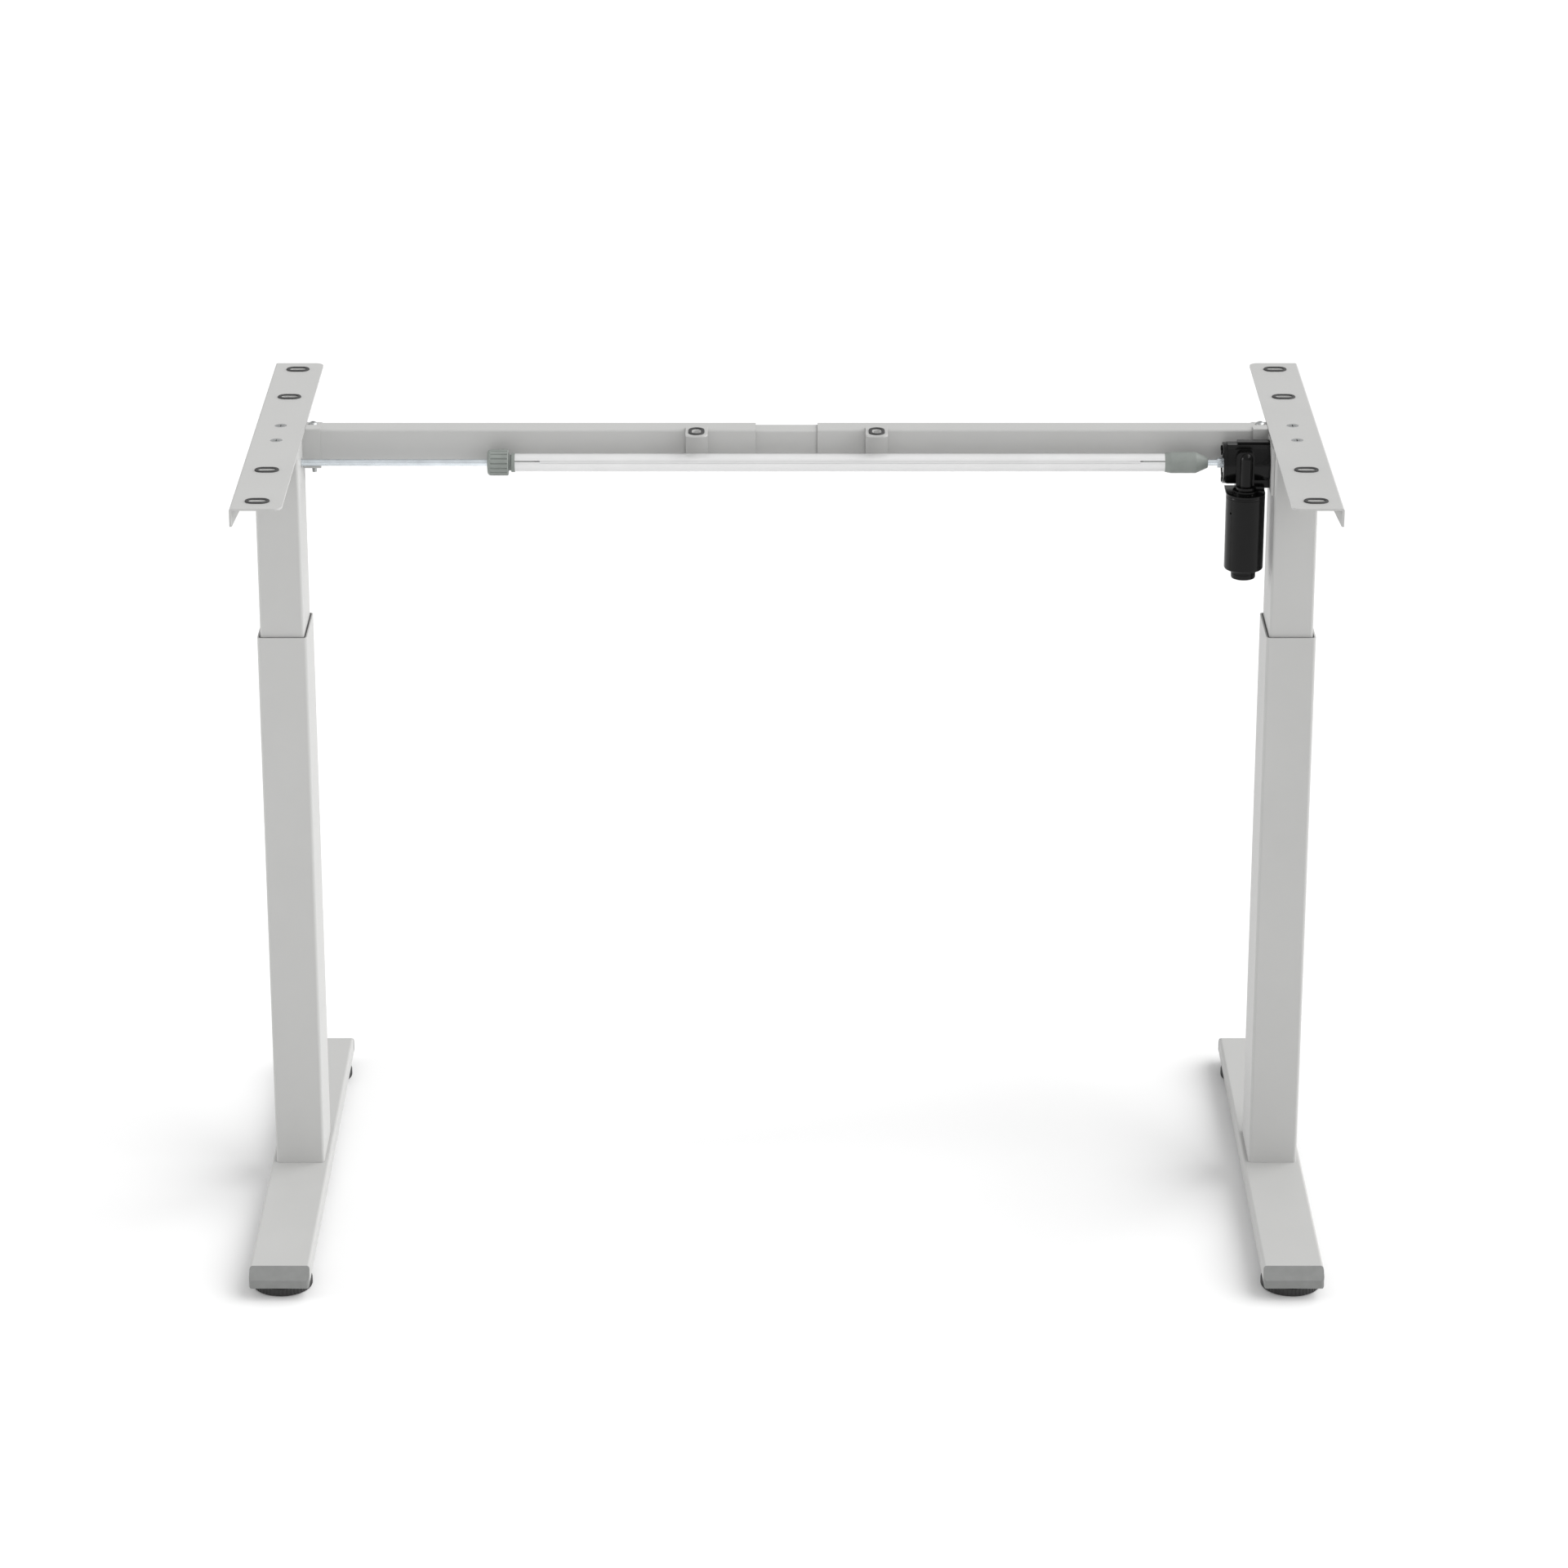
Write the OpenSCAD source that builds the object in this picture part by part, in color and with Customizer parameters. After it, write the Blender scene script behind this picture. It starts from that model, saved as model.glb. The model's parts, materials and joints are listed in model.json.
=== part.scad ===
// Height adjustable desk frame with two telescopic legs, one motor and a telescopic cross shaft.
// Millimetres. X runs left to right, Y front to back, Z up from the floor.

/* [Columns] */
// Distance between the two column centres
column_span = 1014; // [1000:2:1060]
// Width of the outer tube, left to right
outer_w = 50; // [50:1:52]
// Depth of the outer tube, front to back
outer_d = 80; // [78:1:90]
// Height of the outer tube's rim above the floor
outer_top = 612; // [600:1:616]
// Height of the inner tube's lower end above the floor
inner_bottom = 150; // [146:1:160]
// Wall of the steel tubes
tube_wall = 1.5; // [1.2:0.1:2]
// Play between the inner and the outer tube on each side
tube_play = 1.5; // [1.2:0.1:1.6]
// Outer corner radius of the outer tube
outer_r = 3.5; // [3:0.5:5]

/* [Feet] */
// Overall length of a foot with its caps
foot_len = 594; // [580:2:640]
// Width of the foot tube
foot_w = 60; // [58:1:70]
// Height of the foot tube
foot_h = 20; // [20:1:24]
// Height of the foot's underside above the floor
foot_lift = 13; // [13:1:15]
// Length of a foot cap's sloping nose
cap_nose = 12.5; // [8:0.5:16]
// Height that a foot cap's nose drops
cap_drop = 10.5; // [6:0.5:14]

/* [Glides] */
// Diameter of a levelling glide
glide_d = 60; // [50:1:64]
// Distance of a glide from the column's centre, along the foot
glide_y = 258; // [250:1:260]
// Diameter of a glide's threaded stud
stud_d = 8; // [6:1:10]

/* [Side brackets] */
// Height of the side bracket's top face, which carries the table top
frame_top = 815; // [815:1:820]
// Length of a side bracket
bracket_len = 498; // [490:2:560]
// Width of a side bracket
bracket_w = 50; // [50:1:56]
// Thickness of the bent sheet parts
sheet = 2; // [1.5:0.1:2.5]
// Depth of the bracket's lip at its ends
lip_end = 18; // [10:1:20]
// Depth of the bracket's lip beside the column
lip_mid = 40; // [30:1:45]
// Distance of the outer bolt slots from the column's centre
slot_outer_y = 225; // [215:1:230]
// Distance of the inner bolt slots from the column's centre
slot_inner_y = 125; // [100:1:150]
// End to end length of a bolt slot
slot_len = 15.5; // [12:0.5:16]
// Width of a bolt slot
slot_w = 6.5; // [5:0.5:7]

/* [Cross beam] */
// Depth of the beam's outer tubes, front to back
beam_d = 25; // [24:1:30]
// Height of the beam's outer tubes
beam_h = 36; // [34:1:36]
// Distance of the beam's centre behind the column's centre
beam_y = 30.5; // [30.5:0.5:34]
// Length of the middle tube that shows between the outer tubes
beam_gap = 62; // [60:1:90]
// Length of the middle tube
beam_centre_len = 660; // [600:10:700]
// Distance between the two ears
ear_span = 180; // [140:2:240]

/* [Drive shaft] */
// Height of the shaft above the floor
shaft_z = 784; // [784:1:785]
// Width across flats of the hexagon rod
hex_af = 6; // [6:0.5:6.5]
// Position of the hexagon rod's free end, right of the centre
hex_end_x = 80; // [70:2:120]
// Diameter of the shaft tube
shaft_d = 18; // [18:0.5:19]
// Position of the shaft tube's left end
shaft_left_x = -271.5; // [-280:0.5:-260]
// Position of the shaft tube's right end
shaft_right_x = 378; // [370:1:378]
// Diameter of the clamp nut
clamp_d = 26; // [24:1:28]
// Length of the clamp nut
clamp_len = 21; // [18:1:21]

/* [Spindles and gears] */
// Diameter of the spindles
spindle_d = 14; // [12:1:14]
// Height of a spindle's lower end above the floor
spindle_bottom = 160; // [155:1:170]
// Height of the top of the spindle nut above the floor
nut_top = 575; // [565:1:580]
// Teeth of a bevel gear
bevel_teeth = 16; // [14:2:18]
// Pitch radius of a bevel gear at its large end
bevel_r = 13; // [12:0.5:13]
// Teeth of the worm wheel
wheel_teeth = 22; // [22:2:24]
// Pitch radius of the worm wheel
wheel_r = 16; // [15.8:0.1:16.1]

/* [Motor] */
// Distance of the motor's axis from the right column's centre
motor_offset = 49; // [48.5:0.5:50]
// Diameter of the motor can
motor_d = 39; // [38:0.5:40]
// Height of the motor can's lower end above the floor
motor_bottom = 679; // [674:0.5:684]
// Height of the motor can's upper end above the floor
motor_top = 757; // [756:0.5:757.5]

/* [Hidden] */

$fn = 64;
eps = 0.01;
// Radial play of a running fit, and the gap between pieces that are pressed together
fit = 0.05;
light_grey = [0.80, 0.80, 0.79];
cap_grey = [0.50, 0.51, 0.50];
nylon_grey = [0.52, 0.55, 0.53];
zinc = [0.72, 0.75, 0.77];
black = [0.08, 0.08, 0.08];

column_x = column_span / 2;
foot_top = foot_lift + foot_h;
foot_r = 3;
inner_w = outer_w - 2 * (tube_wall + tube_play);
inner_d = outer_d - 2 * (tube_wall + tube_play);
inner_top = frame_top - sheet;
beam_top = frame_top - sheet;
beam_bottom = beam_top - beam_h;
beam_play = 0.2;
bolt_r = 2.5;
shaft_wall = 1.5;
shaft_bore_r = shaft_d / 2 - shaft_wall;
motor_x = column_x - motor_offset;
motor_y = -20.5;
worm_pitch = 2 * PI * wheel_r / wheel_teeth;
box_left_x = column_x - 71.5;
box_back = beam_y - beam_d / 2 - 0.4;
cap_t = 4;
box_right_x = column_x - outer_w / 2;

// ---- Shared shapes ----

// Puts a piece that is drawn around the left column's axis, +X inwards, on its side
module at_side(side) {
    if (side == "left") translate([-column_x, 0, 0]) children();
    else mirror([1, 0, 0]) translate([-column_x, 0, 0]) children();
}

module rounded_rect(w, d, r) {
    square([w - 2 * r, d], center = true);
    square([w, d - 2 * r], center = true);
    for (sx = [-1, 1], sy = [-1, 1])
        translate([sx * (w / 2 - r), sy * (d / 2 - r)]) circle(r);
}

module tube_section(w, d, r, wall) {
    difference() {
        rounded_rect(w, d, r);
        rounded_rect(w - 2 * wall, d - 2 * wall, r - wall);
    }
}

// A slot of the given overall length along X
module slot_2d(len, width) {
    square([len - width, width], center = true);
    for (s = [-1, 1]) translate([s * (len - width) / 2, 0]) circle(width / 2);
}

// Turns a shape drawn along +Z so that it runs along +X from x
module along_x(x) {
    translate([x, 0, shaft_z]) rotate([0, 90, 0]) children();
}

module bar_x(x0, x1, r) {
    along_x(x0) cylinder(r = r, h = x1 - x0);
}

module hex_x(x0, x1, across) {
    along_x(x0) rotate(30) cylinder(r = across / 2 / cos(30), h = x1 - x0, $fn = 6);
}

// Gear outline with straight sided teeth, a gap centred on +X
module gear_2d(teeth, pitch_r, addendum, dedendum, root_deg, tip_deg) {
    step = 360 / teeth;
    root = pitch_r - dedendum;
    tip = pitch_r + addendum;
    polygon([for (i = [0 : teeth - 1])
        for (p = [[root, -root_deg], [tip, -tip_deg], [tip, tip_deg], [root, root_deg]])
            let (a = (i + 0.5) * step + p[1]) p[0] * [cos(a), sin(a)]]);
}

// Bevel gear on the Z axis with its apex at the origin and its large end down
module bevel(phase) {
    face = 5;
    hub_len = 5;
    hub_r = 8;
    bore_r = 4 + fit;
    small = (bevel_r - face) / bevel_r;
    difference() {
        union() {
            translate([0, 0, -bevel_r]) rotate(phase)
                linear_extrude(height = face, scale = small)
                    gear_2d(bevel_teeth, bevel_r, 1.1, 1.5, 5.6, 2.6);
            translate([0, 0, -bevel_r - hub_len]) cylinder(r = hub_r, h = hub_len + eps);
        }
        translate([0, 0, -bevel_r - hub_len - 1]) cylinder(r = bore_r, h = bevel_r + hub_len);
    }
}

// ---- Lower leg: fixed to the foot ----

module foot(side) {
    tube_len = foot_len - 2 * cap_nose;
    boss_r = 7;
    boss_h = 7.5;
    color(light_grey) at_side(side) difference() {
        union() {
            translate([0, tube_len / 2, foot_lift + foot_h / 2]) rotate([90, 0, 0])
                linear_extrude(tube_len) tube_section(foot_w, foot_h, foot_r, tube_wall);
            for (s = [-1, 1]) translate([0, s * glide_y, foot_lift + tube_wall - eps])
                cylinder(r = boss_r, h = boss_h);
        }
        for (s = [-1, 1]) translate([0, s * glide_y, foot_lift - 1])
            cylinder(r = stud_d / 2 + 2 * fit, h = boss_h + tube_wall + 2);
        foot_screw_places() {
            translate([0, 0, foot_lift - 1]) cylinder(r = 8.5, h = tube_wall + 2);
            translate([0, 0, foot_top - tube_wall - 1]) cylinder(r = 4.2, h = tube_wall + 2);
        }
    }
}

module foot_screw_places() {
    for (sx = [-1, 1], sy = [-1, 1]) translate([sx * 15, sy * 28, 0]) children();
}

module foot_caps(side) {
    nose = foot_len / 2;
    joint_y = nose - cap_nose;
    plug_len = 14;
    color(cap_grey) at_side(side) for (m = [0, 1]) mirror([0, m, 0]) {
        intersection() {
            translate([0, nose, foot_lift + foot_h / 2]) rotate([90, 0, 0])
                linear_extrude(cap_nose) rounded_rect(foot_w, foot_h, foot_r);
            linear_extrude(foot_top + 1) rounded_rect(foot_w, foot_len, foot_r);
            translate([-foot_w / 2, 0, 0]) rotate([90, 0, 90]) linear_extrude(foot_w)
                polygon([[joint_y, foot_lift], [nose - 1.5, foot_lift], [nose, foot_lift + 1.5],
                         [nose, foot_top - cap_drop], [joint_y, foot_top]]);
        }
        translate([0, joint_y + eps, foot_lift + foot_h / 2]) rotate([90, 0, 0])
            linear_extrude(plug_len)
                tube_section(foot_w - 2 * tube_wall - 0.2, foot_h - 2 * tube_wall - 0.2, 1.4, 1.2);
    }
}

module foot_screws(side) {
    color(zinc) at_side(side) foot_screw_places() {
        translate([0, 0, foot_top - tube_wall - 5]) difference() {
            cylinder(r = 6.5, h = 5);
            translate([0, 0, -1]) cylinder(r = 3, h = 4, $fn = 6);
        }
        translate([0, 0, foot_top - tube_wall - eps]) cylinder(r = 4, h = 8);
    }
}

module outer_tube(side) {
    plate_h = 6;
    plate_w = outer_w - 2 * tube_wall + eps;
    plate_d = outer_d - 2 * tube_wall + eps;
    color(light_grey) at_side(side) {
        translate([0, 0, foot_top]) linear_extrude(outer_top - foot_top)
            tube_section(outer_w, outer_d, outer_r, tube_wall);
        translate([0, 0, foot_top]) difference() {
            linear_extrude(plate_h) rounded_rect(plate_w, plate_d, outer_r - tube_wall);
            foot_screw_places() translate([0, 0, -1]) cylinder(r = 4 + fit, h = plate_h + 2);
        }
    }
}

// Sliding sleeve in the mouth of the outer tube
module guide_sleeve(side) {
    h = 60;
    w = outer_w - 2 * (tube_wall + fit);
    d = outer_d - 2 * (tube_wall + fit);
    color(black) at_side(side) translate([0, 0, outer_top - h]) linear_extrude(h)
        tube_section(w, d, outer_r - tube_wall, tube_play - 2 * fit);
}

module push_tube(side) {
    flange_h = 5;
    color(zinc) at_side(side) translate([0, 0, foot_top + 6]) difference() {
        union() {
            cylinder(r = 13, h = nut_top - 34 - foot_top - 6);
            cylinder(r = 17, h = flange_h);
        }
        translate([0, 0, -1]) cylinder(r = 11, h = nut_top);
    }
}

module spindle_nut(side) {
    skirt = 34;
    color(nylon_grey) at_side(side) translate([0, 0, nut_top - skirt]) difference() {
        union() {
            cylinder(r = 13, h = skirt);
            translate([0, 0, -12]) cylinder(r = 11 - fit, h = 12 + eps);
        }
        translate([0, 0, -13]) cylinder(r = spindle_d / 2 + fit, h = skirt + 14);
    }
}

module glide(side, s) {
    flutes = 36;
    rim_h = 9;
    color(black) at_side(side) translate([0, s * glide_y, 0]) {
        difference() {
            union() {
                cylinder(r = glide_d / 2 - 1, h = 1 + eps);
                translate([0, 0, 1]) cylinder(r = glide_d / 2, h = rim_h - 1);
                translate([0, 0, rim_h - eps])
                    cylinder(r1 = glide_d / 2 - 1, r2 = 18, h = foot_lift - 0.6 - rim_h);
            }
            for (i = [0 : flutes - 1]) rotate(i * 360 / flutes)
                translate([glide_d / 2 + 0.7, 0, 1.5]) cylinder(r = 1.5, h = 20);
        }
        translate([0, 0, foot_lift - 1]) cylinder(r = stud_d / 2, h = foot_h - tube_wall + 0.5);
    }
}

// ---- Upper leg: rises with the table top ----

module inner_tube(side) {
    bore_r = 4.6;
    slot_width = 3;
    slot_h = 5;
    slot_ys = [-11, 27];
    color(light_grey) at_side(side) difference() {
        translate([0, 0, inner_bottom]) linear_extrude(inner_top - inner_bottom)
            tube_section(inner_w, inner_d, outer_r - 0.5, tube_wall);
        translate([0, 0, shaft_z]) rotate([0, 90, 0]) cylinder(r = bore_r, h = inner_w);
        for (y = slot_ys) translate([inner_w / 2, y, shaft_z - 22])
            cube([4 * tube_wall, slot_width, slot_h], center = true);
    }
}

module side_bracket(side) {
    half = bracket_len / 2;
    corner = 9;
    bend = sheet;
    outer_edge = -bracket_w / 2;
    color(light_grey) at_side(side) difference() {
        union() {
            translate([outer_edge + bend, 0, frame_top - sheet]) linear_extrude(sheet) {
                translate([0, -half]) square([bracket_w - bend - corner, bracket_len]);
                translate([0, -half + corner]) square([bracket_w - bend, bracket_len - 2 * corner]);
                for (s = [-1, 1])
                    translate([bracket_w - bend - corner, s * (half - corner)]) circle(corner);
            }
            translate([outer_edge, 0, frame_top]) rotate([90, 0, 90]) linear_extrude(sheet)
                polygon([[-half, -bend], [-half, -lip_end], [-half + 3, -lip_end - 1],
                         [-outer_d / 2, -lip_mid], [outer_d / 2, -lip_mid],
                         [half - 3, -lip_end - 1], [half, -lip_end], [half, -bend]]);
            translate([outer_edge + bend, half, frame_top - bend]) rotate([90, 0, 0])
                intersection() {
                    cylinder(r = bend, h = bracket_len);
                    translate([-bend, 0, 0]) cube([bend + eps, bend, bracket_len]);
                }
        }
        slot_places() translate([0, 0, -sheet - 1]) linear_extrude(sheet + 2) slot_2d(slot_len, slot_w);
        bracket_screw_places() translate([0, 0, -sheet - eps]) {
            cylinder(r1 = 4.3, r2 = 6.2, h = sheet + 2 * eps);
            translate([0, 0, -20]) cylinder(r = 4, h = 25);
        }
    }
}

// The four bolt slots of a side bracket, at its top face
module slot_places() {
    for (y = [-slot_outer_y, -slot_inner_y, slot_inner_y, slot_outer_y])
        translate([0, y, frame_top]) children();
}

module bracket_screw_places() {
    for (s = [-1, 1]) translate([0, s * 25, frame_top]) children();
}

// Flat rubber ring round a bolt slot, its length along X
module grommet() {
    len = 24;
    width = 16;
    rim = 3.3;
    linear_extrude(1.2) difference() {
        slot_2d(len, width);
        slot_2d(len - 2 * rim, width - 2 * rim);
    }
}

module grommets(side) {
    color(black) {
        at_side(side) slot_places() grommet();
        at_side(side) ear_place() rotate(90) grommet();
    }
}

module bracket_screws(side) {
    color(zinc) at_side(side) bracket_screw_places() difference() {
        union() {
            translate([0, 0, -sheet - 0.1]) cylinder(r1 = 4.1, r2 = 6, h = sheet);
            translate([0, 0, -20]) cylinder(r = 3, h = 20 - sheet);
        }
        for (a = [0, 90]) rotate(a) translate([0, 0, -0.1]) cube([6.5, 1.2, 3], center = true);
    }
}

// End plate at the column with a floor under the beam, a rear wall, and a front wall that is bent
// back over the beam beside the side bracket
module beam_bracket(side) {
    u0 = inner_w / 2 + fit;
    u1 = u0 + 18;
    u_top = bracket_w / 2 + 0.2;
    gap = 0.2;
    end_t = 1.5;
    front = beam_y - beam_d / 2 - gap - sheet;
    depth = beam_d + 2 * (gap + sheet);
    low = beam_bottom - 3.8;
    wall_low = beam_bottom - 0.5;
    flange_t = 1.5;
    flange_depth = 13;
    flange_r = 6;
    color(light_grey) at_side(side) {
        difference() {
            translate([u0, front, low]) cube([u1 - u0, depth, sheet]);
            beam_bolt_place() translate([0, 0, -beam_h - 10]) cylinder(r = bolt_r + fit, h = 20);
        }
        translate([u0, front, low]) cube([end_t, depth, beam_top - fit - low]);
        translate([0, front + sheet, 0]) rotate([90, 0, 0]) linear_extrude(sheet)
            polygon([[u0, wall_low], [u1, wall_low], [u1, beam_top + fit + flange_t],
                     [u_top, beam_top + fit + flange_t], [u_top, beam_top - fit], [u0, beam_top - fit]]);
        translate([u0, front + depth - sheet, wall_low]) cube([u1 - u0, sheet, beam_h]);
        translate([0, front, beam_top + fit]) linear_extrude(flange_t) {
            translate([u_top, 0]) square([u1 - u_top, flange_depth - flange_r]);
            translate([u_top, 0]) square([u1 - u_top - flange_r, flange_depth]);
            translate([u1 - flange_r, flange_depth - flange_r]) circle(flange_r);
        }
    }
}

module beam_bolt_place() {
    translate([inner_w / 2 + 9.5, beam_y + 5.5, beam_top]) children();
}

module beam_bolt(side) {
    shank = beam_h + 13.5;
    head_r = 4.6;
    color(zinc) at_side(side) beam_bolt_place() {
        translate([0, 0, fit]) intersection() {
            translate([0, 0, -2.2]) sphere(r = 5.1);
            cylinder(r = head_r, h = 4);
        }
        translate([0, 0, -shank]) cylinder(r = bolt_r, h = shank + 0.2);
    }
}

module beam_tube(side) {
    end_gap = 1.8;
    u0 = inner_w / 2 + end_gap;
    len = column_x - beam_gap / 2 - u0;
    color(light_grey) at_side(side) difference() {
        translate([u0, beam_y, beam_bottom + beam_h / 2]) rotate([90, 0, 90]) linear_extrude(len)
            tube_section(beam_d, beam_h, 2.5, tube_wall);
        beam_bolt_place() translate([0, 0, -beam_h - 1]) cylinder(r = bolt_r + 0.3, h = beam_h + 2);
    }
}

// Centre of the ear's bolt slot, at its top face
module ear_place() {
    translate([column_x - ear_span / 2, 3.8, frame_top]) children();
}

module ear(side) {
    w = 22;
    front = -10;
    wall_back = beam_y - beam_d / 2 - fit;
    back = wall_back + 4;
    drop = 28;
    corner = 6;
    plate_t = sheet - fit;
    color(light_grey) at_side(side) difference() {
        union() {
            translate([column_x - ear_span / 2, 0, frame_top - plate_t]) linear_extrude(plate_t) {
                translate([-w / 2, front + corner]) square([w, back - front - corner]);
                translate([-w / 2 + corner, front]) square([w - 2 * corner, corner + eps]);
                for (s = [-1, 1]) translate([s * (w / 2 - corner), front + corner]) circle(corner);
            }
            translate([column_x - ear_span / 2 - w / 2, wall_back - sheet, beam_top - drop])
                cube([w, sheet, drop + 2 * fit]);
        }
        ear_place() rotate(90) translate([0, 0, -sheet - 1]) linear_extrude(sheet + 2)
            slot_2d(slot_len, slot_w);
    }
}

module beam_centre_tube() {
    d = beam_d - 2 * (tube_wall + beam_play);
    h = beam_h - 2 * (tube_wall + beam_play);
    color(light_grey) translate([-beam_centre_len / 2, beam_y, beam_bottom + beam_h / 2])
        rotate([90, 0, 90]) linear_extrude(beam_centre_len) tube_section(d, h, 1.8, tube_wall);
}

// Cast block in the head of the inner tube: bearing seat below, gear room around the apex
module gear_housing(side) {
    w = inner_w - 2 * tube_wall - 0.4;
    d = inner_d - 2 * tube_wall - 0.6;
    low = shaft_z - 39;
    room = 15.4;
    color(zinc) at_side(side) difference() {
        translate([0, 0, low]) linear_extrude(inner_top - 0.1 - low) rounded_rect(w, d, 2);
        translate([0, 0, low - 1]) cylinder(r = 16 + fit, h = 11);
        translate([0, 0, low + 5]) cylinder(r = 9, h = 15);
        translate([0, 0, low + 15]) cylinder(r = room + 0.8, h = 27);
        translate([-6, 0, shaft_z]) rotate([0, 90, 0]) cylinder(r = room, h = inner_w);
        bracket_screw_places() {
            translate([0, 0, -sheet - 22]) cylinder(r = 3 + fit, h = 30);
        }
    }
}

module bearing(side) {
    h = 9;
    color(zinc) at_side(side) translate([0, 0, shaft_z - 38.5]) difference() {
        cylinder(r = 16, h = h);
        translate([0, 0, -1]) cylinder(r = 8 + fit, h = h + 2);
        for (z = [-1, h - 0.8]) translate([0, 0, z]) difference() {
            cylinder(r = 14, h = 1.8);
            translate([0, 0, -1]) cylinder(r = 10, h = 4);
        }
    }
}

module spindle(side) {
    shoulder = shaft_z - 43;
    color(zinc) at_side(side) {
        translate([0, 0, spindle_bottom]) cylinder(r = spindle_d / 2, h = shoulder - spindle_bottom);
        translate([0, 0, shoulder - eps]) cylinder(r = 10, h = 4);
        translate([0, 0, shoulder]) cylinder(r = 8, h = 24);
        translate([0, 0, shoulder + 23]) cylinder(r = 4, h = shaft_z - 9 - shoulder - 23);
    }
}

module bevel_gear(side) {
    color(zinc) at_side(side) translate([0, 0, shaft_z]) bevel(0);
}

module pinion(side) {
    color(zinc) at_side(side) translate([0, 0, shaft_z]) rotate([0, -90, 0]) bevel(180 / bevel_teeth + 180);
}

// ---- Cross shaft ----

module hex_rod() {
    x0 = -column_x + bevel_r;
    color(zinc) {
        hex_x(x0 + 6, hex_end_x, hex_af);
        bar_x(x0 - 4, x0 + 6 + eps, 4);
    }
}

module shaft_tube() {
    slit_len = 25;
    slit_w = 1;
    slit_turn = -114;
    groove_turns = [slit_turn, -101];
    groove_w = 0.5;
    groove_depth = 0.4;
    len = shaft_right_x - shaft_left_x;
    color(light_grey) difference() {
        bar_x(shaft_left_x, shaft_right_x, shaft_d / 2);
        bar_x(shaft_left_x - 1, shaft_right_x + 1, shaft_bore_r);
        for (x = [-1, len - slit_len]) along_x(shaft_left_x + x)
            rotate(slit_turn) translate([0, -slit_w / 2, 0]) cube([shaft_d, slit_w, slit_len + 1]);
        for (turn = groove_turns) along_x(shaft_left_x + slit_len) rotate(turn)
            translate([shaft_d / 2 - groove_depth, -groove_w / 2, 0])
                cube([2, groove_w, len - 2 * slit_len]);
    }
}

module shaft_collet() {
    collar = 3.6;
    neck = 20;
    color(nylon_grey) difference() {
        union() {
            bar_x(shaft_left_x - collar, shaft_left_x, 9.6);
            bar_x(shaft_left_x - collar - neck, shaft_left_x, 8);
            bar_x(shaft_left_x - eps, shaft_left_x + 20, shaft_bore_r - fit);
        }
        hex_x(shaft_left_x - 40, shaft_left_x + 40, hex_af + 0.2);
    }
}

module clamp_nut() {
    flutes = 16;
    right = shaft_left_x - 6.5;
    left = right - clamp_len;
    r = clamp_d / 2;
    color(nylon_grey) difference() {
        along_x(left) rotate_extrude()
            polygon([[5, 0], [r - 3, 0], [r - 1, 1], [r, 3], [r, clamp_len - 1], [r - 1, clamp_len],
                     [8.1, clamp_len], [8.1, 2.5], [5, 2.5]]);
        for (i = [0 : flutes - 1]) along_x(left + 3.5) rotate((i + 0.5) * 360 / flutes)
            translate([r + 0.6, 0, 0]) cylinder(r = 1.5, h = clamp_len);
    }
}

module shaft_coupler() {
    len = 43;
    color(nylon_grey) difference() {
        union() {
            along_x(shaft_right_x) rotate_extrude()
                polygon([[0, 0], [9.4, 0], [10.6, 5.5], [10.6, 31.4], [5, len], [0, len]]);
            bar_x(shaft_right_x - 22, shaft_right_x + eps, shaft_bore_r - fit);
        }
        bar_x(shaft_right_x + 20, shaft_right_x + len + 1, 3 + fit);
    }
}

module output_shaft() {
    color(zinc) {
        bar_x(shaft_right_x + 20.5, box_left_x - 5, 3);
        hex_x(box_left_x - 5 - eps, box_left_x - 1, 9);
        bar_x(box_left_x - 1 - eps, box_right_x - 1, 5);
        bar_x(box_right_x - 1 - eps, column_x - bevel_r + 4, 4);
    }
}

module worm_wheel() {
    w = 7;
    color(nylon_grey) along_x(motor_x - w / 2) difference() {
        // a tooth gap faces the worm, at -Y
        rotate(-90) linear_extrude(w) gear_2d(wheel_teeth, wheel_r, 0.8, 1.6, 4.2, 2);
        translate([0, 0, -1]) cylinder(r = 5 + fit, h = w + 2);
    }
}

// ---- Motor and gearbox on the right column ----

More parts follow.
